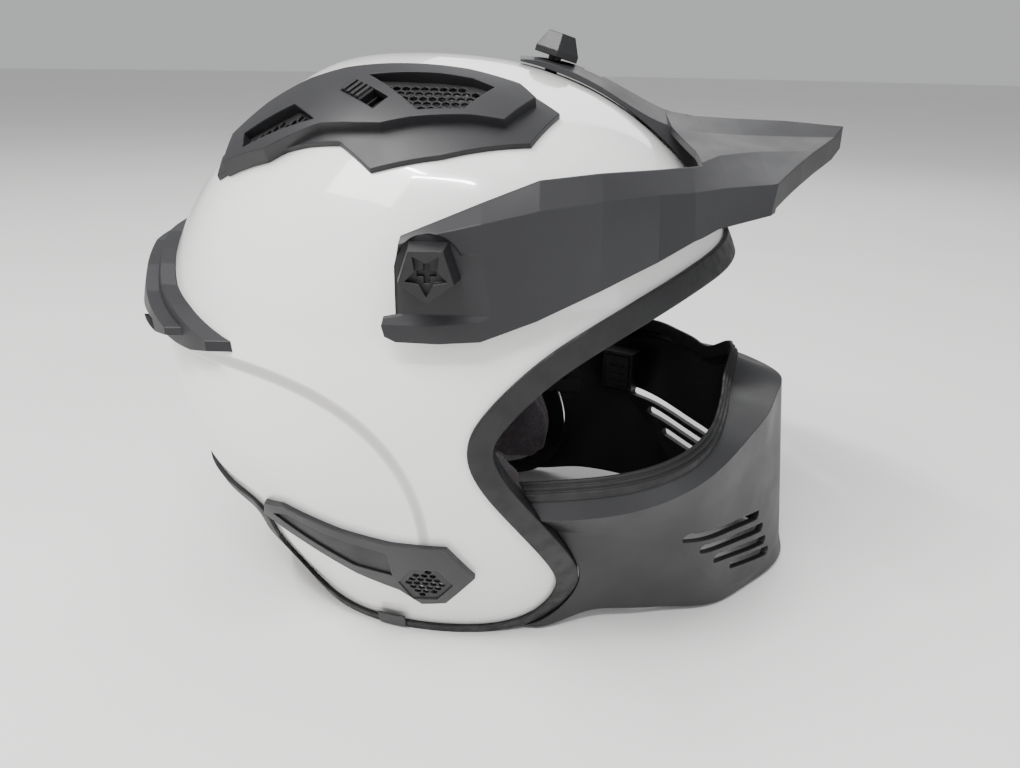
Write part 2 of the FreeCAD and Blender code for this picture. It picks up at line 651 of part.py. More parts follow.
# ---------------------------------------------------------------- peak
# y, then (half width, height) of: bottom edge, side crease, shoulder, deck, ridge.  Behind
# the visor's rear edge only the side up to the shoulder remains, as the two arms.
BODY_ROWS = [(16, (132, 156), (132, 190), (131, 191.5), (110, 197), (0, 226)),
             (4, (132, 156.5), (132, 193.5), (130, 196), (108, 202), (0, 231)),
             (-8, (132, 157.5), (131.6, 197), (126, 200.5), (102, 207), (0, 235)),
             (-24, (131.5, 158.5), (130, 200.5), (120.5, 206.5), (96, 213), (0, 239)),
             (-44, (127.5, 165.5), (122, 204), (113, 213.5), (88, 220), (0, 242)),
             (-67, (119.5, 175), (111.5, 206), (101.5, 215), (70, 223), (0, 242)),
             (-89, (108.5, 184), (99, 207), (87.5, 215), (46, 226), (0, 238)),
             (-104, (97.2, 189.8), (89.7, 206.9), (76, 215), (26, 226), (0, 232)),
             (-118, (89, 193.5), (83, 208), (60, 218), (20, 224), (0, 229.8)),
             (-137, (78, 196.5), (75, 208.5), (46, 218.5), (17, 222.8), (0, 229)),
             (-160, (68, 201), (64, 211), (36, 218), (13, 222.3), (0, 228.4)),
             (-192, (56, 206), (50, 214.5), (26, 218.5), (9, 222), (0, 226))]
# y, half width of the foot, half width and height of the shoulder, height of the ridge
SPINE = [(-35, 16.5, 13.5, 253.5, 255), (-50, 19, 15, 251.5, 253.8), (-62, 21, 16, 247, 251),
         (-74, 22, 17, 241, 246.3), (-88, 22.5, 18, 233, 239.5), (-100, 23, 19.5, 227.5, 233.8),
         (-114, 23, 20, 224.5, 230.6)]


def station(y, points):
    ring = [P(x, y, z) for x, z in points]
    return Part.makePolygon(ring + ring[:1])


def thick(outline, gap):
    return outline + list(reversed(inset(outline, gap)))


def arch(side, gap):
    full = [(-x, z) for x, z in side] + [(x, z) for x, z in reversed(side[:-1])]
    return full + [(x, z - gap) for x, z in reversed(full)]


def arch_inset(side, gap):
    full = [(-x, z) for x, z in side] + [(x, z) for x, z in reversed(side[:-1])]
    return full + list(reversed(inset(full, gap)))


def plan_prism(points):
    wire = Part.makePolygon([P(x, y, 100) for x, y in points + points[:1]])
    return Part.Face(wire).extrude(V(0, 0, 200 * KZ))


body = Part.makeLoft([station(y, arch_inset(pts, PEAK_WALL)) for y, *pts in BODY_ROWS],
                     True, True)
between = [(-25, -103), (-56, -109), (-72, -109)]
between += [(-shoulder[0], y) for y, _, _, shoulder, _, _ in reversed(BODY_ROWS)
            if y > -109]
between += [(-131, 40)]
body = body.cut(plan_prism(between + [(-x, y) for x, y in reversed(between)]))
arm_top = [(12, 230), (3.5, 197.5), (11.5, 164), (10.5, 160), (6.5, 158)]
body = body.common(side_prism([], yz(arm_top + [(-27, 157), (-31, 158.2), (-60, 171.5),
                                                (-114, 193.4), (-137, 196.8),
                                                (-141, 197.4), (-192, 206), (-200, 240),
                                                (-40, 260)])))
front_plan = [(0, -187.5), (-77, -137.5), (-140, -110), (-140, 40)]
body = body.common(plan_prism(front_plan + [(-x, y) for x, y in reversed(front_plan[1:])]))
body = body.cut(egg(ARM_GAP))
recess = Part.Face(Part.makePolygon([
    V(-ARM_X - 2, -36 * KY, 160 * KZ), V(-ARM_X - 2, -36 * KY, 197 * KZ),
    V(-ARM_X + 1.8, -36 * KY, 189.5 * KZ), V(-ARM_X + 1.8, -36 * KY, 168 * KZ),
    V(-ARM_X - 2, -36 * KY, 160 * KZ)])).extrude(V(0, 60, 0))
boss = cross_bar(KNOB_WIDTH, arm_inner - 1, arm_inner + 1.1)
boss = boss.common(side_prism([], yz([(3.5, 197.5), (11.5, 164), (-40, 150), (-40, 197.5)])))
knob_seat = cross_bar(KNOB_WIDTH + 2 * RUN, ARM_X - 1.8, ARM_X + 8)
for turn in (lambda shape: shape, mirrored):
    body = body.cut(turn(recess)).fuse(turn(boss)).cut(turn(knob_seat))
    body = body.cut(turn(cross_bar(SCREW_D + 2 * RUN, 80, 160)))
lip_zone = plan_prism([(0, -187.5), (-77, -137.5), (-77, -131), (-75, -133.3), (0, -182),
                       (75, -133.3), (77, -131), (77, -137.5)])
lip = Part.makeLoft([station(y, arch(pts, PEAK_LIP)) for y, *pts in BODY_ROWS[8:]],
                    True, True).common(lip_zone)
side_trim = side_prism([], yz([(-90, 183.9), (-114, 193.4), (-137, 196.8), (-141, 197.4),
                               (-192, 206), (-192, 240), (-90, 240)]))


def spine_section(foot, shoulder, z1, z2, d):
    half = [(-foot + d, z2 - 26), (-shoulder + 0.8 * d, z1 - d), (0, z2 - d)]
    return half + [(-x, z) for x, z in reversed(half[:-1])]


spine = Part.makeLoft([station(y, spine_section(f, c, z1, z2, 0))
                       for y, f, c, z1, z2 in SPINE], True, False)
hollow = Part.makeLoft([station(y, spine_section(f, c, z1, z2, PEAK_WALL))
                        for y, f, c, z1, z2 in SPINE], True, False)
spine = spine.cut(egg(1.2)).cut(hollow.cut(plan_prism([(-30, -62), (30, -62), (30, -20),
                                                       (-30, -20)])))
peak = body.fuse([lip.common(side_trim), spine])

# top knob: on the spine, its stud free in a track through the shell
TOP_Y = -49.0 * KY
top_skin = skin_point(V(0, 0, 1), 0, V(0, TOP_Y, 120))
TOP_AXIS = skin_normal(top_skin)
top_frame = frame(top_skin, V(0, -1, 0), TOP_AXIS)
tab_top = 6.3
peak = peak.cut(block(top_frame, -12, 12, -12, 12, tab_top, 20))
peak = peak.cut(placed(Part.makeCylinder(SCREW_D / 2 + RUN, 30, V(0, 0, -10)), top_frame))
slot = block(top_frame, 14.5, 24, -2.2, 2.2, -4, 20)
peak = peak.cut(slot)
PARTS["peak"] = peak
track = block(top_frame, -13, 5, -SCREW_D / 2 - 1.2, SCREW_D / 2 + 1.2, -14, 4)
PARTS["outer_shell"] = PARTS["outer_shell"].cut(track)
PARTS["eps_liner"] = PARTS["eps_liner"].cut(track)


def pointed(count, radius, turn=0.0):
    return [V(radius * math.sin(2 * math.pi * k / count + turn),
              radius * math.cos(2 * math.pi * k / count + turn), 0) for k in range(count)]


def prism_up(points, z0, z1):
    wire = Part.makePolygon([p + V(0, 0, z0) for p in points + points[:1]])
    return Part.Face(wire).extrude(V(0, 0, z1 - z0))


def tapered(points, scale, z0, z1):
    low = Part.makePolygon([p + V(0, 0, z0) for p in points + points[:1]])
    high = Part.makePolygon([p * scale + V(0, 0, z1) for p in points + points[:1]])
    return Part.makeLoft([low, high], True, True)


def star_knob():
    body = tapered(pointed(5, KNOB_WIDTH / 2), 0.86, 0, KNOB_HEIGHT)
    outer = pointed(5, KNOB_WIDTH * 0.33)
    dents = pointed(5, KNOB_WIDTH * 0.17, math.pi / 5)
    star = [p for pair in zip(outer, dents) for p in pair]
    body = body.cut(prism_up(star, KNOB_HEIGHT - 2.6, KNOB_HEIGHT + 1))
    for a, b in ((3.4, 1.0), (1.0, 3.4)):
        body = body.cut(Part.makeBox(2 * a, 2 * b, 3, V(-a, -b, KNOB_HEIGHT - 4.4)))
    stud = Part.makeCylinder(SCREW_D / 2, 30, V(0, 0, -30))
    return body.fuse(stud)


knob_depth = ARM_X - 1.8 + RUN
knob_place = frame(V(-knob_depth, PIVOT_Y, PIVOT_Z), V(0, 1, 0), V(-1, 0, 0))
star = placed(star_knob(), knob_place)
star = star.cut(Part.makeBox(60, 60, 60, V(-insert_deep - 3 - FIT, PIVOT_Y - 30,
                                           PIVOT_Z - 30)))
spacer = cross_bar(18, pivot_skin - 6, arm_inner - 1 - RUN).cut(egg(FIT))
spacer = spacer.cut(cross_bar(SCREW_D + 2 * RUN, 80, 160))
top_knob = tapered(pointed(6, 11.5), 0.62, 2.6, 10.2).fuse(prism_up(pointed(6, 11.5), 0, 2.7))
top_knob = top_knob.fuse(Part.makeCylinder(SCREW_D / 2, 16, V(0, 0, -16)))
top_knob = top_knob.cut(Part.makeBox(8, 1.8, 3, V(-4, -0.9, 8.6)))
top_knob.translate(V(0, 0, tab_top + RUN))
PARTS["peak_top_knob"] = placed(top_knob, top_frame)

# ---------------------------------------------------------------- chin strap
STRAP_Z0 = 20 * KZ
STRAP_Z1 = STRAP_Z0 + STRAP_WIDTH
STRAP_END_Y, STRAP_MID_Y, STRAP_END_X = 50 * KY, 61 * KY, 96 * KX


def strap_band(x0, x1, grow, tall):
    """Slice of the arched webbing between x0 and x1, seen from above."""
    outer, near = [], []
    for k in range(9):
        x = x0 + (x1 - x0) * k / 8
        bow = 1 - (x / STRAP_END_X) ** 2
        y = STRAP_END_Y + (STRAP_MID_Y - STRAP_END_Y) * bow
        outer.append(V(x, y + STRAP_THICK / 2 + grow, STRAP_Z0 - tall))
        near.append(V(x, y - STRAP_THICK / 2 - grow, STRAP_Z0 - tall))
    edges = []
    for run in (outer, near):
        curve = Part.BSplineCurve()
        curve.interpolate(run)
        edges.append(curve.toShape())
    edges.append(Part.makeLine(outer[0], near[0]))
    edges.append(Part.makeLine(outer[-1], near[-1]))
    face = Part.Face(Part.Wire(Part.__sortEdges__(edges)))
    return face.extrude(V(0, 0, STRAP_WIDTH + 2 * tall))


anchor = band(inner - FIT, inner - 2.0).common(
    side_prism([], [(42 * KY, STRAP_Z0), (58 * KY, STRAP_Z0), (58 * KY, STRAP_Z1),
                    (42 * KY, STRAP_Z1)], -200, -12))
strap_right = strap_band(-STRAP_END_X, 2, 0, 0).common(egg(inner - 2.0 - FIT))
strap_left = strap_band(40, STRAP_END_X, 0, 0).common(egg(inner - 2.0 - FIT))
anchor_x = abs(skin_point(V(-1, 0, 0), inner, V(0, STRAP_END_Y + 1, STRAP_Z0 + 11)).x)
rivet_at = V(-anchor_x, STRAP_END_Y + 1.2, (STRAP_Z0 + STRAP_Z1) / 2)
bite = -skin_normal(rivet_at)
rivet = Part.makeCylinder(2.4, 9, rivet_at - bite * 0.5, bite).common(egg(inner - FIT))
rivet_hole = Part.makeCylinder(2.4 + FIT, 16, rivet_at - bite * 3, bite)
anchor = anchor.cut(rivet_hole)
strap_right = strap_right.cut(rivet_hole)
strap_left = strap_left.cut(mirrored(rivet_hole))
PARTS["strap_rivets"] = Part.makeCompound([rivet, mirrored(rivet)])
buckle_y = STRAP_MID_Y - (STRAP_MID_Y - STRAP_END_Y) * (22 / STRAP_END_X) ** 2
mid_z = (STRAP_Z0 + STRAP_Z1) / 2
buckle = Part.makeBox(41.7, 7, 20, V(2.7, buckle_y - 3.5, mid_z - 10))
buckle = buckle.cut(Part.makeBox(24, 2.2, 15, V(2, buckle_y - 1.1, mid_z - 7.5)))
buckle = buckle.cut(Part.makeBox(26, 3.6, 14, V(6, buckle_y + 1.6, mid_z - 7)))
buckle = buckle.cut(strap_band(36, 60, FIT, FIT))
tongue_plate = Part.makeBox(23.6, 2.0, 14.8, V(2.2, buckle_y - 1.0, mid_z - 7.4))
tongue_plate = tongue_plate.fuse(Part.makeBox(4.0, 3.4, 23, V(-1.4, buckle_y - 1.7,
                                                              mid_z - 11.5)))
for k in range(5):
    tongue_plate = tongue_plate.cut(Part.makeBox(1.4, 0.9, 11, V(8 + 3.2 * k, buckle_y + 0.2,
                                                                 mid_z - 5.5)))
strap_right = strap_right.cut(Part.makeBox(6, 6, 40, V(-1.45, buckle_y - 3, mid_z - 20)))
LEVER_X = 30.0
lever = Part.makeBox(22, 1.8, 14 - 2 * RUN, V(8.4, buckle_y + 2.3, mid_z - 7 + RUN))
lever = lever.fuse(Part.makeCylinder(1.5, 14 - 2 * RUN, V(LEVER_X, buckle_y + 3.5,
                                                         mid_z - 7 + RUN)))
buckle = buckle.cut(Part.makeCylinder(1.5 + RUN, 14, V(LEVER_X, buckle_y + 3.5, mid_z - 7)))
PARTS["buckle_body"] = buckle
PARTS["buckle_tongue"] = tongue_plate
PARTS["buckle_lever"] = lever
PARTS["chin_strap_right"] = strap_right
PARTS["chin_strap_left"] = strap_left

# ---------------------------------------------------------------- snap studs, joiners
STUDS = [(-4, 92), (24, 70), (-22, 34)]
studs = []
for y, z in STUDS:
    at = skin_point(V(-1, 0, 0), pad_out, V(0, y * KY, z * KZ))
    n = skin_normal(at)
    post = Part.makeCylinder(3.0, 4.5, at - n * 3.6, n).common(egg(pad_out))
    pad = pad.cut(Part.makeCylinder(3.0 + FIT, 9, at - n * (3.6 + FIT), n))
    studs += [post, mirrored(post)]
PARTS["snap_studs"] = Part.makeCompound(studs)
joiner = band(RUBBER_SKIN + 1.0, RUBBER_SKIN + FIT).common(
    side_prism([], yz([(13, 1.5), (26, 1.5), (26, 10), (13, 10)]), -200, -12))

# ---------------------------------------------------------------- right and left pieces
for name, shape in (("cheek_pad", pad), ("cheek_plate", plate), ("guard_receiver", receiver),
                    ("peak_insert", inserts), ("peak_spacer", spacer), ("peak_knob", star),
                    ("top_vent", housing), ("top_mesh_front", meshes[0]),
                    ("top_mesh_rear", meshes[1]), ("vent_slider", slider),
                    ("side_vent", frame_low), ("side_cover", cover_low),
                    ("side_mesh", mesh_low), ("strap_anchor", anchor),
                    ("trim_joiner", joiner)):
    PARTS[name + "_right"] = shape
    PARTS[name + "_left"] = mirrored(shape)

# origin under the middle of the whole helmet, on the table
boxes = [shape.optimalBoundingBox() for shape in PARTS.values()]
middle_y = (min(b.YMin for b in boxes) + max(b.YMax for b in boxes)) / 2
lowest = min(b.ZMin for b in boxes)
for name, shape in PARTS.items():
    shape.translate(V(0, -middle_y, -lowest))
    shape.exportStep("parts/" + name + ".step")
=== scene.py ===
import json
import math

import bmesh
import bpy
import numpy as np
from mathutils import Matrix, Vector, noise


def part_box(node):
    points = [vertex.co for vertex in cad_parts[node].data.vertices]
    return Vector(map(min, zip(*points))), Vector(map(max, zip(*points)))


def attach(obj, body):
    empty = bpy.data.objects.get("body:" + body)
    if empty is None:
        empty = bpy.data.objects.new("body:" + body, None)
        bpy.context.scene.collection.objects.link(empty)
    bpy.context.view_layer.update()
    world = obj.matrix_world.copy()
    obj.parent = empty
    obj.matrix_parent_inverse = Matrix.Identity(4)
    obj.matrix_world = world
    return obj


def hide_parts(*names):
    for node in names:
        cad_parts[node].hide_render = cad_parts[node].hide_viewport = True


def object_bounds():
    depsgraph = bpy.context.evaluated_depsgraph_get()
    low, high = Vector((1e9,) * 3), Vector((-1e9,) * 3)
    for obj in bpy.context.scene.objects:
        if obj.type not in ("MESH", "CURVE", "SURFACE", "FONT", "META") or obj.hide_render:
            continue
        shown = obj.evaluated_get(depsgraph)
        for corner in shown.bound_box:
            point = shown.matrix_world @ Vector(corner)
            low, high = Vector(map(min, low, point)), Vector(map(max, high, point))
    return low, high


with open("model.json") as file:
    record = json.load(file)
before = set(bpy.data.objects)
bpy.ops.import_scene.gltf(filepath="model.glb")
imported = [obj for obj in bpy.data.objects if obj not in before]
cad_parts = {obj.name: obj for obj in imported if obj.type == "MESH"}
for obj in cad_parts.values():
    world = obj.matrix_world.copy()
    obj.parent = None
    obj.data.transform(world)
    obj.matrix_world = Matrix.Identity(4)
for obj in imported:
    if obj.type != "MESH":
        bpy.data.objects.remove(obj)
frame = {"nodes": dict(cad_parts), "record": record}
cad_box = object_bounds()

MM = 0.001
BEVEL_SAMPLES = 6
PLASTIC_GRAIN = 2200.0
PLASTIC_EDGE = 0.7 * MM
RUBBER_EDGE = 1.2 * MM
LOOPS = 1150.0  # plush loops to a metre
NODES = frame["nodes"]
HELMET = "helmet"


# ------------------------------------------------------------------ materials
class Mat:
    """A node tree around one Principled shader, in object coordinates (metres)."""

    def __init__(self, name, colour, roughness, **sockets):
        self.m = bpy.data.materials.new(name)
        self.m.use_nodes = True
        self.t = self.m.node_tree
        self.b = self.t.nodes["Principled BSDF"]
        self.b.inputs["Base Color"].default_value = (*colour, 1)
        self.b.inputs["Roughness"].default_value = roughness
        for key, value in sockets.items():
            self.b.inputs[key.replace("_", " ")].default_value = value
        self.xyz = self.node("ShaderNodeTexCoord").outputs["Object"]
        self.height = None

    def soft_edges(self, radius):
        """Rounds sharp edges in the shading, so that they catch the light as moulded ones do."""
        n = self.node("ShaderNodeBevel", Radius=radius, samples=BEVEL_SAMPLES)
        self.height = n.outputs["Normal"]
        self.link(self.height, self.b.inputs["Normal"])

    def node(self, kind, **values):
        n = self.t.nodes.new(kind)
        for key, value in values.items():
            if key in n.inputs:
                n.inputs[key].default_value = value
            else:
                setattr(n, key, value)
        return n

    def link(self, a, b):
        self.t.links.new(a, b)

    def noise(self, scale, detail=4.0, roughness=0.5, stretch=None):
        n = self.node("ShaderNodeTexNoise", Scale=scale, Detail=detail, Roughness=roughness)
        self.link(self.stretched(stretch), n.inputs["Vector"])
        return n.outputs["Fac"]

    def stretched(self, stretch):
        if stretch is None:
            return self.xyz
        m = self.node("ShaderNodeMapping")
        m.inputs["Scale"].default_value = stretch
        self.link(self.xyz, m.inputs["Vector"])
        return m.outputs["Vector"]

    def cells(self, scale):
        n = self.node("ShaderNodeTexVoronoi", Scale=scale)
        self.link(self.xyz, n.inputs["Vector"])
        return n.outputs["Distance"]

    def wave(self, scale, direction):
        n = self.node("ShaderNodeTexWave", Scale=scale, bands_direction=direction)
        self.link(self.xyz, n.inputs["Vector"])
        return n.outputs["Fac"]

    def ramp(self, source, low, high, a, b):
        """Maps low..high of source onto a..b, smoothly."""
        n = self.node("ShaderNodeMapRange", interpolation_type="SMOOTHSTEP")
        for key, value in zip(("From Min", "From Max", "To Min", "To Max"), (low, high, a, b)):
            n.inputs[key].default_value = value
        self.link(source, n.inputs["Value"])
        return n.outputs["Result"]

    def math(self, op, a, b):
        n = self.node("ShaderNodeMath", operation=op)
        for i, v in enumerate((a, b)):
            if isinstance(v, (int, float)):
                n.inputs[i].default_value = v
            else:
                self.link(v, n.inputs[i])
        return n.outputs[0]

    def tint(self, source, first, second):
        """Colour that runs from first to second as source goes from 0 to 1."""
        n = self.node("ShaderNodeMix", data_type="RGBA")
        n.inputs[6].default_value = (*first, 1)
        n.inputs[7].default_value = (*second, 1)
        self.link(source, n.inputs[0])
        self.link(n.outputs[2], self.b.inputs["Base Color"])
        return n

    def over(self, mix, source, colour):
        """Lays one more colour over the result of a tint."""
        n = self.node("ShaderNodeMix", data_type="RGBA")
        self.link(mix.outputs[2], n.inputs[6])
        n.inputs[7].default_value = (*colour, 1)
        self.link(source, n.inputs[0])
        self.link(n.outputs[2], self.b.inputs["Base Color"])
        return n

    def rough(self, source):
        self.link(source, self.b.inputs["Roughness"])

    def bump(self, source, distance, strength=1.0):
        n = self.node("ShaderNodeBump", Strength=strength, Distance=distance)
        self.link(source, n.inputs["Height"])
        if self.height is not None:
            self.link(self.height, n.inputs["Normal"])
        self.height = n.outputs["Normal"]
        self.link(self.height, self.b.inputs["Normal"])


# The sculpted side of the shell: a crease runs forward and down from the rear spoiler's tip,
# as a quarter of a superellipse, and the panel below and behind it lies deeper.
CREASE_BACK, CREASE_FOOT = 107.6 * MM, 59.7 * MM
CREASE_LENGTH, CREASE_RISE = 88 * MM, 82 * MM
CREASE_POWER = 2.4
CREASE_DEPTH = 5.0 * MM


def creased(m):
    """The depth of the side panel, from 0 outside the crease to -1 just inside it."""
    split = m.node("ShaderNodeSeparateXYZ")
    m.link(m.xyz, split.inputs["Vector"])
    y, z = split.outputs["Y"], split.outputs["Z"]
    u = m.math("MAXIMUM", m.math("DIVIDE", m.math("SUBTRACT", CREASE_BACK, y), CREASE_LENGTH), 0.0)
    v = m.math("MAXIMUM", m.math("DIVIDE", m.math("SUBTRACT", z, CREASE_FOOT), CREASE_RISE), 0.0)
    total = m.math("ADD", m.math("POWER", u, CREASE_POWER), m.math("POWER", v, CREASE_POWER))
    reach = m.math("POWER", total, 1 / CREASE_POWER)
    wall = m.ramp(reach, 0.93, 1.0, -1.0, 0.0)
    floor = m.ramp(reach, 0.25, 0.95, 0.0, 1.0)
    foot = m.ramp(z, 40 * MM, 76 * MM, 0.0, 1.0)
    return m.math("MULTIPLY", m.math("MULTIPLY", wall, floor), foot)


def painted_shell():
    m = Mat("shell_white", (0.86, 0.855, 0.84), 0.2, Coat_Weight=0.9, Coat_Roughness=0.03,
            Coat_IOR=1.5, Specular_IOR_Level=0.5)
    cloud = m.ramp(m.noise(7.0, 2.0), 0.3, 0.7, 0.0, 1.0)
    mix = m.tint(cloud, (0.86, 0.855, 0.84), (0.835, 0.83, 0.815))
    dust = m.ramp(m.noise(1500.0, 2.0), 0.72, 0.82, 0.0, 0.14)
    m.over(mix, dust, (0.55, 0.53, 0.50))
    m.rough(m.ramp(m.noise(60.0, 5.0), 0.3, 0.75, 0.16, 0.24))
    m.bump(creased(m), CREASE_DEPTH)
    m.bump(m.noise(420.0, 2.0), 0.00001, 0.25)
    return m.m


def moulded(name, dark, light, rough_low, rough_high):
    """Moulded plastic: rounded edges, fine spark-eroded grain, faint rub marks, a little dust."""
    m = Mat(name, dark, rough_high, Specular_IOR_Level=0.38)
    m.soft_edges(PLASTIC_EDGE)
    cloud = m.ramp(m.noise(18.0, 4.0, 0.5), 0.3, 0.75, 0.0, 1.0)
    mix = m.tint(cloud, dark, light)
    speck = m.ramp(m.noise(2600.0, 2.0), 0.70, 0.80, 0.0, 0.25)
    m.over(mix, speck, tuple(c * 1.8 + 0.015 for c in light))
    m.rough(m.ramp(m.noise(45.0, 5.0), 0.3, 0.7, rough_low, rough_high))
    m.bump(m.noise(PLASTIC_GRAIN, 3.0, 0.6), 0.00004, 0.5)
    return m.m


def rubber():
    m = Mat("rubber_black", (0.022, 0.022, 0.024), 0.6, Specular_IOR_Level=0.4)
    m.soft_edges(RUBBER_EDGE)
    mix = m.tint(m.ramp(m.noise(22.0, 4.0), 0.3, 0.75, 0.0, 1.0), (0.009, 0.009, 0.010),
                 (0.013, 0.013, 0.014))
    m.over(mix, m.ramp(m.noise(1900.0, 2.0), 0.72, 0.82, 0.0, 0.25), (0.10, 0.098, 0.095))
    m.rough(m.ramp(m.noise(140.0, 4.0), 0.3, 0.7, 0.42, 0.66))
    m.bump(m.noise(900.0, 3.0), 0.00006, 0.5)
    return m.m


def plush(name, dark, light):
    """Brushed lining cloth: fine loops, a soft nap and worn patches."""
    m = Mat(name, dark, 0.95, Sheen_Weight=0.55, Sheen_Roughness=0.45,
            Specular_IOR_Level=0.2)
    m.b.inputs["Sheen Tint"].default_value = (0.75, 0.7, 0.75, 1)
    nap = m.ramp(m.noise(26.0, 5.0, 0.6), 0.35, 0.7, 0.0, 1.0)
    mix = m.tint(nap, dark, light)
    # painted shade: the sunken middle of each loop, where the bump below dips, is painted darker
    m.over(mix, m.ramp(m.cells(LOOPS), 0.1, 0.75, 0.55, 0.0), tuple(c * 0.35 for c in dark))
    m.bump(m.cells(LOOPS), 0.00035, 0.75)
    m.bump(m.noise(3600.0, 3.0, 0.7), 0.00015, 0.6)
    m.bump(nap, 0.0006, 0.4)
    return m.m


def bead_foam():
    m = Mat("eps_grey", (0.06, 0.06, 0.065), 0.85, Specular_IOR_Level=0.3)
    beads = m.cells(330.0)
    # painted shade: the grooves between beads, where the bump sinks, are painted darker than the
    # bead tops
    m.tint(m.ramp(beads, 0.1, 0.7, 0.0, 1.0), (0.075, 0.075, 0.08), (0.03, 0.03, 0.033))
    m.bump(beads, -0.0007, 0.8)
    return m.m


def webbing():
    """Woven strap: ribs across, a diagonal twill in them."""
    m = Mat("webbing", (0.02, 0.02, 0.022), 0.8, Sheen_Weight=0.25, Specular_IOR_Level=0.3)
    rib = m.wave(260.0, "X")
    twill = m.wave(420.0, "DIAGONAL")
    weave = m.math("MULTIPLY", rib, twill)
    # painted shade: the weave's low parts, as the bump below sets them, are painted darker and its
    # raised threads lighter
    m.tint(weave, (0.012, 0.012, 0.013), (0.05, 0.05, 0.054))
    m.bump(weave, 0.0004, 0.9)
    m.bump(m.noise(3000.0, 2.0), 0.0001, 0.5)
    return m.m


def metal(name, colour, rough_low, rough_high, stretch):
    m = Mat(name, colour, rough_high, Metallic=1.0)
    brushed = m.noise(300.0, 5.0, 0.6, stretch)
    m.tint(m.ramp(m.noise(120.0, 4.0), 0.3, 0.8, 0.0, 1.0), colour,
           tuple(c * 0.72 for c in colour))
    m.rough(m.ramp(brushed, 0.3, 0.7, rough_low, rough_high))
    m.bump(brushed, 0.00004, 0.5)
    return m.m


MATERIALS = {
    "shell_white": painted_shell(),
    "rubber_black": rubber(),
    "eps_grey": bead_foam(),
    "liner_fabric": plush("liner_fabric", (0.105, 0.088, 0.099), (0.20, 0.172, 0.19)),
    "inner_plastic": moulded("inner_plastic", (0.020, 0.020, 0.022), (0.03, 0.03, 0.033),
                             0.45, 0.62),
    "charcoal": moulded("charcoal", (0.017, 0.017, 0.019), (0.020, 0.020, 0.022), 0.42, 0.50),
    "knob_black": moulded("knob_black", (0.011, 0.011, 0.012), (0.015, 0.015, 0.016),
                          0.38, 0.52),
    "vent_black": moulded("vent_black", (0.009, 0.009, 0.010), (0.013, 0.013, 0.014),
                          0.45, 0.6),
    "brass": metal("brass", (0.72, 0.55, 0.27), 0.22, 0.38, (1, 1, 8)),
    "steel": metal("steel", (0.58, 0.58, 0.60), 0.25, 0.42, (1, 1, 10)),
    "webbing": webbing(),
    "buckle_red": moulded("buckle_red", (0.22, 0.02, 0.018), (0.30, 0.03, 0.025), 0.35, 0.5),
}
SLOT_OF = {s["node"]: s["material_slot"] for s in frame["record"]["subparts"]}


def finish_with(piece, slot):
    piece.data.materials.clear()
    piece.data.materials.append(MATERIALS[slot])


def paint_node(name):
    node = NODES[name]
    if not node.material_slots:
        node.data.materials.append(None)
    for slot in node.material_slots:
        slot.link = "OBJECT"
        slot.material = MATERIALS[SLOT_OF[name]]


for name in NODES:
    paint_node(name)


# ------------------------------------------------------------------ soft lining
PRESSURE = 4.0
SWELL_FRAMES = 20
WELD = 1e-6
LINING_VOXEL = 4 * MM
HEM_ANGLE = math.radians(50)


def loose_copy(name, node):
    """A new object with the node's surface, welded, so that it can be reshaped."""
    obj = bpy.data.objects.new(name, NODES[node].data.copy())
    bpy.context.scene.collection.objects.link(obj)
    bm = bmesh.new()
    bm.from_mesh(obj.data)
    bmesh.ops.remove_doubles(bm, verts=bm.verts, dist=WELD)
    bm.to_mesh(obj.data)
    bm.free()
    return obj


def apply_modifiers(obj):
    graph = bpy.context.evaluated_depsgraph_get()
    mesh = bpy.data.meshes.new_from_object(obj.evaluated_get(graph))
    obj.modifiers.clear()
    obj.data = mesh


def modified(obj, kind, **values):
    modifier = obj.modifiers.new(kind.lower(), kind)
    for key, value in values.items():
        setattr(modifier, key, value)
    apply_modifiers(obj)


def points_of(obj):
    flat = np.empty(len(obj.data.vertices) * 3)
    obj.data.vertices.foreach_get("co", flat)
    return flat.reshape(-1, 3)


def normals_of(obj):
    return np.array([v.normal[:] for v in obj.data.vertices])


def put_points(obj, points):
    obj.data.vertices.foreach_set("co", points.ravel())
    obj.data.update()


def swell(obj, cap):
    """Cloth under pressure: the form rounds out, no point going further than cap."""
    before = points_of(obj)
    cloth = obj.modifiers.new("cloth", "CLOTH")
    cloth.settings.use_pressure = True
    cloth.settings.uniform_pressure_force = PRESSURE
    cloth.settings.effector_weights.gravity = 0
    cloth.point_cache.frame_end = SWELL_FRAMES
    for step in range(1, SWELL_FRAMES + 1):
        bpy.context.scene.frame_set(step)
    apply_modifiers(obj)
    bpy.context.scene.frame_set(1)
    travel = points_of(obj) - before
    length = np.linalg.norm(travel, axis=1, keepdims=True)
    put_points(obj, before + travel * np.minimum(1, cap / np.maximum(length, 1e-9)))


def folded(obj, grain, depth):
    """Soft folds in the cloth: noise stretched by grain, a scale for each axis."""
    points = points_of(obj)
    lift = np.array([noise.noise(Vector(p * grain)) for p in points])
    put_points(obj, points + normals_of(obj) * (lift * depth)[:, None])


def seam(obj, distance, width, depth):
    """A sewn channel where distance(points) is 0."""
    points = points_of(obj)
    sink = depth * np.exp(-(distance(points) / width) ** 2)
    put_points(obj, points - normals_of(obj) * sink[:, None])


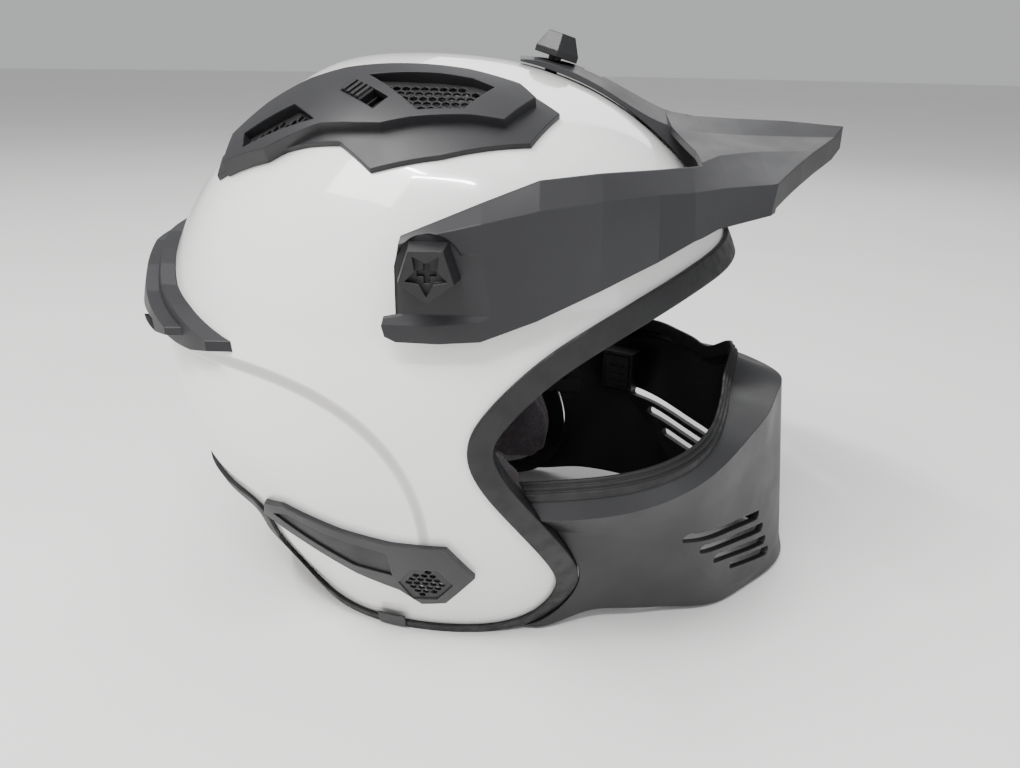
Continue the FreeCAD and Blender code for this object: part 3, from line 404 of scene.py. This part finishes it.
def lining(name, node, inset, cap, grain, depth, seams):
    """A stuffed piece of the lining in the place of its CAD node.

    It starts inset within the node's surface and swells by up to cap. Its folds follow grain and
    are up to depth high, and each seam is (distance to it, width, depth).
    """
    obj = loose_copy(name, node)
    modified(obj, "REMESH", mode="VOXEL", voxel_size=LINING_VOXEL)
    put_points(obj, points_of(obj) - normals_of(obj) * inset)
    modified(obj, "SMOOTH", factor=0.5, iterations=3)
    swell(obj, cap)
    modified(obj, "SUBSURF", levels=1)
    folded(obj, grain, depth)
    for distance, width, sink in seams:
        seam(obj, distance, width, sink)
    modified(obj, "SMOOTH", factor=0.4, iterations=1)
    obj.data.shade_smooth()
    finish_with(obj, "liner_fabric")
    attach(obj, HELMET)
    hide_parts(node)


def flat_at(axis, place):
    """Distance from the plane across one axis."""
    return lambda points: points[:, axis] - place


def pair_at(axis, place):
    """Distance from two planes mirrored about the middle of the helmet."""
    return lambda points: np.abs(points[:, axis]) - place


def cheek_cushion(side, node):
    """The cushion at one cheek, with a ring seam, two upright channels and one along it."""
    low, high = (np.array(c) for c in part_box(node))
    inner = low[0] if side > 0 else high[0]
    length, height = (high - low)[1:]
    ring = (flat_at(0, inner + side * 10 * MM), 2.4 * MM, 2.2 * MM)
    channels = [(flat_at(1, low[1] + length * share), 3.0 * MM, 3.4 * MM) for share in (0.34, 0.66)]
    shelf = (flat_at(2, low[2] + height * 0.62), 2.6 * MM, 1.8 * MM)
    lining(f"{node}_cushion", node, 2.5 * MM, 6 * MM, (14, 48, 14), 2.4 * MM,
           [ring, *channels, shelf])


cheek_cushion(-1, "cheek_pad_right")
cheek_cushion(1, "cheek_pad_left")
lining("crown_lining", "crown_liner", 1.2 * MM, 2.5 * MM, (22, 22, 22), 1.2 * MM,
       [(pair_at(0, 34 * MM), 2.6 * MM, 2.6 * MM), (flat_at(2, 150 * MM), 2.6 * MM, 2.2 * MM)])
lining("neck_cushion", "neck_roll", 1.5 * MM, 4 * MM, (34, 34, 12), 1.6 * MM,
       [(pair_at(0, 44 * MM), 2.8 * MM, 2.8 * MM)])


def strap(node):
    """Webbing with rolled edges."""
    obj = loose_copy(f"{node}_webbing", node)
    modified(obj, "BEVEL", width=0.5 * MM, segments=2, limit_method="ANGLE")
    obj.data.shade_smooth()
    obj.data.set_sharp_from_angle(angle=HEM_ANGLE)
    finish_with(obj, "webbing")
    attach(obj, HELMET)
    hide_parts(node)


strap("chin_strap_right")
strap("chin_strap_left")


# ------------------------------------------------------------------ studio
FLOOR_RADIUS = 14.0
AIR = (0.84, 0.85, 0.86)
AIR_STRENGTH = 0.6
CAMERA_PLACE = (-0.421, -0.0174, 0.2537)
CAMERA_AZIMUTH, CAMERA_PITCH, CAMERA_ROLL = 271.0, 21.0, 1.0
CAMERA_LENS, CAMERA_SENSOR = 30.0, 36.0
# name, place, (width, height), power, colour
SOFT_BOXES = [
    ("key", (-0.9, 0.9, 1.7), (1.0, 0.7), 27.0, (1.0, 0.98, 0.95)),
    ("fill", (-1.3, -1.2, 0.9), (1.2, 1.2), 8.0, (0.95, 0.97, 1.0)),
    ("back", (1.4, -0.3, 1.2), (1.2, 1.2), 8.0, (1, 1, 1)),
    ("top", (0.0, 0.0, 2.0), (1.6, 1.6), 10.0, (1, 1, 1)),
]
STRIP_PLACES = [(-1.2, 0.1, 1.9), (-0.9, 0.65, 2.0), (-0.3, 1.0, 2.0)]
STRIP_SIZE = (0.8, 0.04)
STRIP_POWER = 20.0


def soft_box(name, place, aim, size, power, colour=(1, 1, 1)):
    light = bpy.data.lights.new(name, "AREA")
    light.shape = "RECTANGLE"
    light.size, light.size_y = size
    light.energy = power
    light.color = colour
    lamp = bpy.data.objects.new(name, light)
    lamp.location = place
    lamp.rotation_euler = (aim - Vector(place)).to_track_quat("-Z", "Y").to_euler()
    bpy.context.scene.collection.objects.link(lamp)


def floor_disc(height):
    mesh = bpy.data.meshes.new("floor")
    bm = bmesh.new()
    bmesh.ops.create_circle(bm, cap_ends=True, segments=96, radius=FLOOR_RADIUS)
    bm.to_mesh(mesh)
    bm.free()
    floor = bpy.data.objects.new("floor", mesh)
    floor.location.z = height
    bpy.context.scene.collection.objects.link(floor)
    m = Mat("floor_paint", (0.78, 0.775, 0.765), 0.45, Specular_IOR_Level=0.35)
    m.tint(m.ramp(m.noise(3.0, 4.0), 0.3, 0.7, 0.0, 1.0), (0.79, 0.785, 0.775),
           (0.765, 0.76, 0.75))
    floor.data.materials.append(m.m)


def studio():
    low, high = cad_box
    middle = (Vector(low) + Vector(high)) / 2
    floor_disc(low[2])

    world = bpy.data.worlds.new("studio")
    world.use_nodes = True
    background = world.node_tree.nodes["Background"]
    background.inputs["Color"].default_value = (*AIR, 1)
    background.inputs["Strength"].default_value = AIR_STRENGTH
    bpy.context.scene.world = world

    for name, place, size, power, colour in SOFT_BOXES:
        soft_box(name, place, middle, size, power, colour)
    for place in STRIP_PLACES:
        soft_box("strip", place, middle, STRIP_SIZE, STRIP_POWER)


def camera():
    """Stands at the helmet's right ear, looking slightly down on it."""
    azimuth = math.radians(CAMERA_AZIMUTH)
    pitch = math.radians(CAMERA_PITCH)
    roll = math.radians(CAMERA_ROLL)
    back = Vector((math.sin(azimuth) * math.cos(pitch), -math.cos(azimuth) * math.cos(pitch),
                   math.sin(pitch)))
    level = (-back).cross(Vector((0, 0, 1))).normalized()
    upright = level.cross(-back)
    right = level * math.cos(roll) + upright * math.sin(roll)
    up = upright * math.cos(roll) - level * math.sin(roll)
    eye = bpy.data.cameras.new("camera")
    eye.lens = CAMERA_LENS
    eye.sensor_width = CAMERA_SENSOR
    eye.clip_start = 0.01
    body = bpy.data.objects.new("camera", eye)
    turn = Matrix((right, up, back)).transposed().to_4x4()
    body.matrix_world = Matrix.Translation(CAMERA_PLACE) @ turn
    bpy.context.scene.collection.objects.link(body)
    bpy.context.scene.camera = body


studio()
camera()
